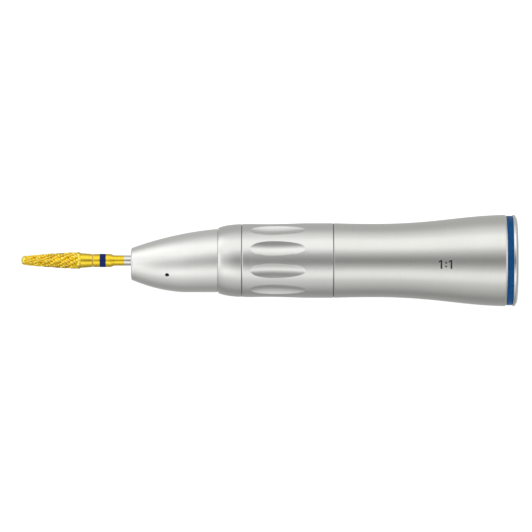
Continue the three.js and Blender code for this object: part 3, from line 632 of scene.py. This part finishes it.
sheath = lathe(
    "sheath_shell",
    [
        (SHEATH_SEAM - LIP, 6.3),
        (SHEATH_SEAM - LIP, 8.3),
        (SHEATH_FRONT, 8.3),
        (SHEATH_FRONT, 8.38, 0.03),
        (SHEATH_FRONT + 0.08, 8.478, 0.03),
        *[p for p in sampled(sheath_neck, 12) if p[0] > SHEATH_FRONT + 0.3],
        *[p for p in sampled(sheath_flare, 60) if WAIST + 0.1 < p[0] < -3.0],
        (-2.86, 10.385, 0.06),
        (-2.46, 10.16, 0.05),
        (-2.46, 9.56),
        (-5.4, 9.54),
        (-18, 7.62),
        (-38.2, 7.62),
        (-38.2, 6.3),
    ],
    around=160,
)
stand_in(sheath, "housing", "satin_steel", GREY_STEEL, "rear_sheath")
# Painted shade in the seam between the twist ring and the sheath.
paint_seam_shade(sheath, SHEATH_SEAM, 8.36)

BLUE_FRONT, BLUE_REAR, BLUE_R = -2.4, -1.05, 10.16
blue = lathe(
    "blue_ring_shell",
    [(BLUE_FRONT, 9.55), (BLUE_FRONT, BLUE_R, 0.1), (BLUE_REAR, BLUE_R, 0.1), (BLUE_REAR, 9.55)],
    around=160,
)
stand_in(blue, "housing", "blue_ring", BLUE_RING, "blue_code_ring")


def make_connector():
    profile = [
        (-0.35, 7.8, 0.1),
        (0.0, 8.1, 0.1),
        (0.0, 9.4, 0.1),
        (-0.5, 10.36, 0.1),
        (-1.0, 10.36, 0.05),
        (-1.0, 9.45),
        (-3.85, 9.45),
        (-3.85, 8.9),
        (-4.55, 8.9),
        (-4.55, 9.45),
        (-5.4, 9.45),
        (-12.5, 7.5),
        (-38.1, 7.5),
        (-38.1, 6.27),
        (-33.55, 6.27),
        (-33.55, 6.45),
        (-13.2, 6.45, 0.08),
        (-13.2, 6.9, 0.06),
        (-12.0, 6.9, 0.06),
        (-12.0, 6.45, 0.08),
        (-9.4, 6.45, 0.2),
        (-8.0, 7.8, 0.2),
    ]
    sleeve = lathe("connector_shell", profile, around=160)
    groove = slab((-39.5, -0.45, -8), (-19.5, 0.45, -6.72))
    notch = slab((-39.5, -0.45, -8), (-33.3, 0.45, -5))
    return drill(sleeve, groove, notch, rod((-20.3, 0, -5.5), (-20.3, 0, -7.2), 0.35, 24))


stand_in(make_connector(), "housing", "satin_steel", RIM_STEEL, "connector_sleeve")


# ------------------------------------------------------------------ what shows at the bottom of the socket


def make_dog():
    dog = lathe(
        "dog_coupling",
        [
            (-47, 0),
            (-47, 1.88, 0.1),
            (-36.45, 1.88),
            (-36.45, 2.7, 0.1),
            (-35.6, 2.7, 0.1),
            (-35.6, 2.1, 0.05),
            (-27.4, 2.1, 0.15),
            (-27.0, 1.75, 0.1),
            (-27.0, 0),
        ],
        around=64,
    )
    return drill(dog, slab((-31.2, -0.75, -3), (-26, 0.75, 3)), rod((-39, -5, 0), (-39, 5, 0), 0.44, 24))


stand_in(make_dog(), "rotor", "hardened_steel", HARD_STEEL, "drive_dog")

nut = lathe(
    "bearing_nut_ring",
    [(-40.35, 3.3), (-40.35, 4.97), (-37.6, 4.97, 0.12), (-37.6, 3.3, 0.12)],
    around=96,
)
drill(nut, slab((-38.4, -6, -0.5), (-36, 6, 0.5)))
stand_in(nut, "housing", "turned_steel", TURNED_STEEL, "rear_bearing_nut")


# ------------------------------------------------------------------ the collet's spring

WIRE, COIL = 0.27, 1.5  # radii of the wire and of the coil's middle
CLOSE_PITCH = 0.56  # at the two end turns, which lie side by side
OPEN_TURNS = 5


def make_spring(front, rear):
    """A helix of round wire between two stations, with one close turn at each end."""
    first, last = front + WIRE, rear - WIRE
    open_pitch = (last - first - 2 * CLOSE_PITCH) / OPEN_TURNS
    turns, per_turn, sides = OPEN_TURNS + 2, 28, 10
    rims = [TAU * k / sides for k in range(sides)]
    axis = Vector((1, 0, 0))
    rows = []
    for i in range(turns * per_turn + 1):
        turn = i / per_turn
        opened = min(max(turn - 1, 0), OPEN_TURNS)
        x = first + open_pitch * opened + CLOSE_PITCH * (turn - opened)
        angle = TAU * turn
        outward = Vector((0, math.cos(angle), math.sin(angle)))
        centre = Vector((x, 0, 0)) + outward * COIL
        rows.append([tuple(centre + (outward * math.cos(a) + axis * math.sin(a)) * WIRE) for a in rims])
    ends = [sum((Vector(p) for p in row), Vector()) / sides for row in (rows[0], rows[-1])]
    return skin("collet_spring_wire", [[tuple(ends[0])], *rows, [tuple(ends[1])]], closed=False)


spring_low, spring_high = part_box("collet_spring")
spring = make_spring(spring_low[0] / MM, spring_high[0] / MM)
stand_in(spring, "chuck", "spring_steel", SPRING_STEEL, "collet_spring")
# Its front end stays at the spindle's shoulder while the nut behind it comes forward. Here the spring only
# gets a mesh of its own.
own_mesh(spring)


# ------------------------------------------------------------------ gear-ratio mark


def wrapped_patch(x0, x1, z0, z1, slant):
    """A small patch on the sheath's near side. slant moves its left edge down."""
    columns, rows = 3, 9
    raised = 0.006
    points, faces = [], []
    for i in range(columns):
        for j in range(rows):
            x = x0 + (x1 - x0) * i / (columns - 1)
            z = z0 + (z1 - z0) * j / (rows - 1) - slant * (1 - i / (columns - 1))
            radius = sheath_radius(x) + raised
            points.append((x, -math.sqrt(radius**2 - z * z), z))
    for i in range(columns - 1):
        for j in range(rows - 1):
            a = i * rows + j
            faces.append((a, a + rows, a + rows + 1, a + 1))
    return points, faces


def make_mark():
    """The ratio 1:1, as strokes and dots."""
    left, foot, tall, bar = -17.6, -1.9, 2.0, 0.36  # bar is the width of a stroke and of a dot
    strokes = []
    for offset in (0.0, 2.25):
        x = left + offset
        strokes.append((x, x + bar, foot, foot + tall, 0.0))
        strokes.append((x - 0.42, x, foot + tall - 0.34, foot + tall, 0.3))
    middle = left + 1.05
    for z in (foot + 0.35, foot + 1.2):
        strokes.append((middle, middle + bar, z, z + bar, 0.0))
    points, faces = [], []
    for stroke in strokes:
        more, sides = wrapped_patch(*stroke)
        faces.extend(tuple(i + len(points) for i in side) for side in sides)
        points.extend(more)
    mark = mesh_object("ratio_mark", points, faces)
    if mark.data.polygons[0].normal.y > 0:
        mark.data.flip_normals()
    return mark


stand_in(make_mark(), "housing", "satin_steel", DARK_STEEL_AND_SEAM_SHADE)


# ------------------------------------------------------------------ bur

HEAD_TIP, HEAD_WIDEST = -112.6, -99.9
HEAD_REAR = HEAD_WIDEST + 0.55
HEAD_R = 1.93
TIP_LENGTH, TIP_R = 1.0, 1.12
FLUTES, CROSS_CUTS = 9, 12
GOLD_REAR = -89.2
# The crest scale runs from painted shade in the flutes to a painted highlight on the crests.
NECK_CREST, SHANK_CREST = 0.66, 0.64  # how pale the uncut gold is, on the scale of the head's crests
head_side = cubic((HEAD_TIP + TIP_LENGTH, TIP_R), (-107.5, 1.5), (-103, 1.84), (HEAD_WIDEST, HEAD_R))


def head_radius(x):
    if x < HEAD_TIP + TIP_LENGTH:
        t = (x - HEAD_TIP) / TIP_LENGTH
        return TIP_R * math.sqrt(max(0.0, 1 - (1 - t) ** 2.2))
    return height_at(head_side, x)


def wave(phase, width):
    """A rounded saw tooth from 0 in the gullet to 1 on the crest, with a steep face on one side."""
    f = phase % 1.0
    if f < width:
        return math.sin(math.pi / 2 * f / width)
    return max(0.0, 1 - (f - width) / (1 - width)) ** 0.8


def unrest(x, angle):
    """A smooth uneven drift, about -1 to 1, that keeps hand-ground cuts from looking printed."""
    slow = math.sin(3 * angle + 1.9 * x) * math.sin(1.3 * x - 2 * angle)
    quick = math.sin(7 * angle - 2.7 * x + 1.0) * math.sin(4.1 * x + 5 * angle)
    return 0.6 * slow + 0.4 * quick


def head_point(x, angle):
    """(radius, crest) on the fluted head: crossed helical cuts, deeper where the head is wider. The crest
    value sets painted shade in the flutes and a painted highlight on the crests.
    """
    base = head_radius(x)
    along = x - HEAD_TIP
    drift = unrest(along, angle)
    flute = wave(FLUTES * angle / TAU + along / 2.1 + 0.22 * drift, 0.6)
    cross = wave(-CROSS_CUTS * angle / TAU + along / 0.95 + 0.4 * unrest(1.7 * along + 2, angle + 1), 0.55)
    fade = min(1.0, along / 1.2) * min(1.0, max(0.0, (HEAD_REAR - x) / 0.5))
    crest = min(1.0, 0.2 * flute + 0.15 * cross + 0.65 * flute * cross + 0.12 * (1 + drift))
    depth = (0.2 + 0.13 * (base / HEAD_R) ** 2) * fade
    return base - depth * (1 - crest) * min(1.0, base), 1 - 0.95 * fade * (1 - crest)


def make_head():
    around = 200
    angles = [TAU * k / around for k in range(around)]
    stations = [HEAD_TIP + 0.55 * (i / 10) ** 1.6 for i in range(1, 11)]
    first = stations[-1]
    stations += [first + (HEAD_REAR - first) * i / 300 for i in range(1, 301)]
    rows, crests = [[(HEAD_TIP, 0, 0)]], [0.8]
    for x in stations:
        made = [(a, *head_point(min(x, HEAD_REAR), a)) for a in angles]
        rows.append([(x, r * math.cos(a), r * math.sin(a)) for a, r, _ in made])
        crests += [c for _, _, c in made]
    neck = [(-99.3, 1.83), (-99.0, 1.68, 0.1), (-96.5, 1.5, 0.05), (-96.38, 1.42, 0.05), (-96.38, 0)]
    for x, radius in rounded(neck, closed=False):
        row = ring_row(x, radius, 0, around)
        rows.append(row)
        crests += [NECK_CREST] * len(row)
    head = skin("bur_cutting_head", rows, closed=False, sharp=60)
    # The crest values carry the painted flute shade and crest highlight to the gold material.
    layer = head.data.attributes.new("crest", "FLOAT", "POINT")
    layer.data.foreach_set("value", crests)
    return head


stand_in(make_head(), "bur", "gold_coating", GOLD, "bur_head")


def make_shank():
    profile = [
        (-96.3, 0),
        (-96.3, 1.40, 0.05),
        (-96.2, 1.49, 0.04),
        (-94.78, 1.49, 0.03),
        (-94.78, 1.36),
        (-93.37, 1.36),
        (-93.37, 1.49, 0.03),
        (-92.25, 1.49, 0.15),
        (-91.5, 1.175, 0.2),
        (-89.25, 1.175),
        (GOLD_REAR, 1.172),
        (-68.4, 1.175, 0.1),
        (-68.1, 0.925, 0.05),
        (-68.1, 0),
    ]
    shank = lathe("bur_neck_and_shank", profile, around=96)
    layer = shank.data.attributes.new("crest", "FLOAT", "POINT")
    layer.data.foreach_set("value", [SHANK_CREST] * len(shank.data.vertices))
    return shank


shank = stand_in(make_shank(), "bur", "bright_steel", BRIGHT_STEEL, "bur_shank")
shank.data.materials.append(GOLD)
for face in shank.data.polygons:
    face.material_index = 1 if face.center.x < GOLD_REAR * MM else 0

BAND_FRONT, BAND_REAR, BAND_R = -94.75, -93.4, 1.52
band = lathe(
    "bur_band_ring",
    [(BAND_FRONT, 1.37), (BAND_FRONT, BAND_R, 0.05), (BAND_REAR, BAND_R, 0.05), (BAND_REAR, 1.37)],
    around=96,
)
stand_in(band, "bur", "blue_band", BLUE_BAND, "bur_color_band")


# ------------------------------------------------------------------ floor, light and camera

AIM = Vector((-0.057, 0, 0))  # in metres, as are the floor's, the lamps' and the camera's places
CAMERA_AWAY, CAMERA_DROP = 1.266, 0.00125


def make_floor():
    size, depth = 30.0, -0.075
    mesh = bpy.data.meshes.new("floor")
    mesh.from_pydata(
        [(-size, -size, depth), (size, -size, depth), (size, size, depth), (-size, size, depth)],
        [],
        [(0, 1, 2, 3)],
    )
    floor = bpy.data.objects.new("floor", mesh)
    bpy.context.scene.collection.objects.link(floor)
    paint = Paint("pale_floor")
    cloud = paint.noise(6, 3.0)
    paint.colour(paint.blended(paint.mapped(cloud, 0, 1), (0.9, 0.9, 0.9), (0.93, 0.93, 0.93)))
    paint.roughness(paint.mapped(cloud, 0.85, 0.95))
    paint.set(Specular_IOR_Level=0.0)
    floor.data.materials.append(paint.material)
    # The lamp below the object shines through the floor, as it would through a light table.
    floor.visible_glossy = False
    floor.visible_shadow = False


# The tent's brightness by direction round the object's axis, in degrees up from the camera's side.
TENT = (
    (-180, 0.5),  # the back
    (-115, 0.25),  # the shade under the object
    (-60, 0.7),  # the lower cloth
    (-32, 0.8),
    (-15, 0.4),  # the slot that the camera looks in through, with its grey edges
    (-3, 0.15),
    (10, 0.3),
    (31, 0.8),  # the upper cloth
    (80, 0.85),
    (110, 0.45),  # the back again
    (180, 0.5),
)
TENT_END = (0.32, 0.95)  # the tent's two ends, from low behind to high in front


def make_world():
    """White where the camera and the floor see it, and a light tent in the metal's reflections."""
    world = bpy.data.worlds.new("studio")
    world.use_nodes = True
    bpy.context.scene.world = world
    tree = world.node_tree
    tree.nodes.clear()

    def add(kind, **settings):
        node = tree.nodes.new(kind)
        for key, value in settings.items():
            setattr(node, key, value)
        return node

    def joined(node, *sources):
        for socket, source in zip(node.inputs, sources):
            if isinstance(source, (int, float)):
                socket.default_value = source
            else:
                tree.links.new(source, socket)
        return node.outputs[0]

    def ranged(value, *limits):
        node = add("ShaderNodeMapRange", interpolation_type="SMOOTHSTEP")
        return joined(node, value, *limits)

    axes = add("ShaderNodeSeparateXYZ")
    tree.links.new(add("ShaderNodeTexCoord").outputs["Generated"], axes.inputs[0])
    toward = joined(add("ShaderNodeMath", operation="MULTIPLY"), axes.outputs["Y"], -1.0)
    turn = joined(add("ShaderNodeMath", operation="ARCTAN2"), axes.outputs["Z"], toward)
    share = joined(add("ShaderNodeMath", operation="MULTIPLY_ADD"), turn, 1 / TAU, 0.5)
    ramp = add("ShaderNodeValToRGB")
    stops = ramp.color_ramp.elements
    for i, (degrees, value) in enumerate(TENT):
        place = (degrees + 180) / 360
        stop = stops[0] if i == 0 else stops[-1] if i == len(TENT) - 1 else stops.new(place)
        stop.position, stop.color = place, (value, value, value, 1)
    tree.links.new(share, ramp.inputs["Fac"])
    sideways = joined(add("ShaderNodeMath", operation="ABSOLUTE"), axes.outputs["X"])
    front = joined(add("ShaderNodeMath", operation="MULTIPLY_ADD"), axes.outputs["Z"], 0.5, toward)
    end = ranged(front, -0.7, 0.7, *TENT_END)
    mix = add("ShaderNodeMix", data_type="FLOAT")
    tree.links.new(ranged(sideways, 0.55, 0.88, 0.0, 1.0), mix.inputs[0])
    tree.links.new(ramp.outputs["Color"], mix.inputs[2])
    tree.links.new(end, mix.inputs[3])
    tent = add("ShaderNodeBackground")
    tree.links.new(mix.outputs[0], tent.inputs["Strength"])
    white = add("ShaderNodeBackground")
    white.inputs["Strength"].default_value = 1.15
    for background in (tent, white):
        background.inputs["Color"].default_value = (1, 1, 1, 1)
    chosen = add("ShaderNodeMixShader")
    tree.links.new(add("ShaderNodeLightPath").outputs["Is Glossy Ray"], chosen.inputs["Fac"])
    tree.links.new(white.outputs[0], chosen.inputs[1])
    tree.links.new(tent.outputs[0], chosen.inputs[2])
    tree.links.new(chosen.outputs[0], add("ShaderNodeOutputWorld").inputs["Surface"])


def softbox(name, azimuth, elevation, distance, width, height, radiance):
    """A soft rectangular lamp, aimed at the object. Azimuth 0 is the camera's side and 90 the rear end's."""
    a, e = math.radians(azimuth), math.radians(elevation)
    out = Vector((math.sin(a) * math.cos(e), -math.cos(a) * math.cos(e), math.sin(e)))
    data = bpy.data.lights.new(name, "AREA")
    data.shape = "RECTANGLE"
    data.size, data.size_y = width, height
    data.energy = radiance * math.pi * width * height
    lamp = bpy.data.objects.new(name, data)
    lamp.location = AIM + out * distance
    lamp.rotation_mode = "QUATERNION"
    lamp.rotation_quaternion = out.to_track_quat("Z", "Y")
    bpy.context.scene.collection.objects.link(lamp)
    lamp.visible_camera = False


make_floor()
make_world()
# Degrees round and up from the camera's side, then distance, width and height, then radiance.
softbox("upper_front", 0, 52, 0.5, 0.9, 0.36, 0.28)
softbox("lower_front", 0, -44, 0.5, 0.9, 0.24, 0.24)
softbox("left_front", -62, 0, 0.2, 0.2, 0.14, 0.55)
softbox("over_bur", -74, 48, 0.15, 0.07, 0.09, 0.35)
softbox("nose_strip", -27, -5, 0.092, 0.03, 0.13, 0.3)

camera_data = bpy.data.cameras.new("camera")
camera_data.sensor_width = 36.0
camera_data.lens = 377.0
camera_data.clip_start, camera_data.clip_end = 0.01, 100.0
camera = bpy.data.objects.new("camera", camera_data)
camera.location = AIM + Vector((0, -CAMERA_AWAY, -CAMERA_DROP))
camera.rotation_euler = (math.pi / 2, 0, 0)
bpy.context.scene.collection.objects.link(camera)
bpy.context.scene.camera = camera
bpy.context.scene.view_settings.view_transform = "Standard"
